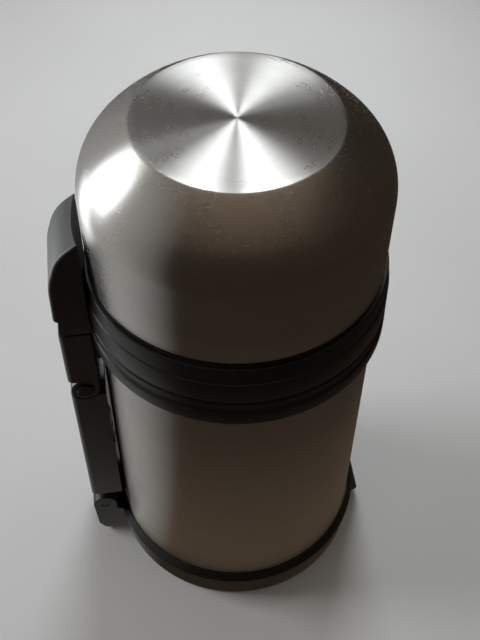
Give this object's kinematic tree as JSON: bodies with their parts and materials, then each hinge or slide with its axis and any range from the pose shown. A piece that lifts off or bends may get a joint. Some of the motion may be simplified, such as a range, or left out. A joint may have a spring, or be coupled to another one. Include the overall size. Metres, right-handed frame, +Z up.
{
  "type": "insulated food jar",
  "caption": "Steel vacuum food jar with a domed screw-on cup, a vented stopper and a fold-out carrying handle hinged on a moulded base and collar.",
  "frame": {"origin": "middle of the flat underside that the jar stands on", "axes": "+Z up along the jar, handle on the -X side, wedge of the base on the +X side"},
  "size_m": [0.1197, 0.1062, 0.2163],
  "materials": {
    "body_steel": "satin",
    "cup_steel": "satin",
    "inner_steel": "smooth",
    "getter_metal": "matte",
    "black_plastic": "satin",
    "handle_plastic": "satin",
    "stopper_plastic": "satin",
    "button_plastic": "satin",
    "silicone": "matte",
    "pad_rubber": "matte",
    "foam": "matte",
    "pin_steel": "smooth"
  },
  "bodies": {
    "jar": {"outer_shell": "body_steel", "inner_vessel": "inner_steel", "vacuum_plate": "inner_steel", "getter_tablet": "getter_metal", "base_pad": "pad_rubber", "base_cup": "black_plastic", "neck_collar": "black_plastic", "handle_arch": "handle_plastic", "arch_screws": "pin_steel", "lower_hinge_pin": "pin_steel"},
    "grip": {"handle_grip": "handle_plastic"},
    "link": {"handle_link": "handle_plastic", "middle_hinge_pin": "pin_steel", "sliding_pin": "pin_steel"},
    "cup": {"cup_shell": "cup_steel", "cup_liner": "inner_steel", "cup_rim": "black_plastic"},
    "stopper": {"stopper_plug": "stopper_plastic", "stopper_gasket": "silicone", "stopper_foam": "foam", "stopper_cap": "stopper_plastic", "vent_spring": "pin_steel"},
    "vent": {"vent_button": "button_plastic", "vent_stem": "stopper_plastic", "vent_seal": "silicone"}
  },
  "joints": [
    {"name": "grip_hinge", "type": "hinge", "parent": "jar", "child": "grip", "pos_m": [-0.0585, 0, 0.0215], "axis": [0, -1, 0], "range_deg": [0, 16]},
    {"name": "link_hinge", "type": "hinge", "parent": "grip", "child": "link", "pos_m": [-0.0575, 0, 0.106], "axis": [0, -1, 0], "range_deg": [-57.6, 0]},
    {"name": "cup_lift", "type": "slide", "parent": "jar", "child": "cup", "axis": [0, 0, 1], "range_m": [0, 0.09]},
    {"name": "stopper_lift", "type": "slide", "parent": "jar", "child": "stopper", "axis": [0, 0, 1], "range_m": [0, 0.0225]},
    {"name": "vent_press", "type": "slide", "parent": "stopper", "child": "vent", "axis": [0, 0, -1], "range_m": [0, 0.0025], "stiffness_N_per_m": 400, "springref_m": -0.002, "deforming": ["vent_spring"]}
  ],
  "couplings": [
    {"joint": "link_hinge", "follows": "grip_hinge", "ratio": -3.6}
  ]
}
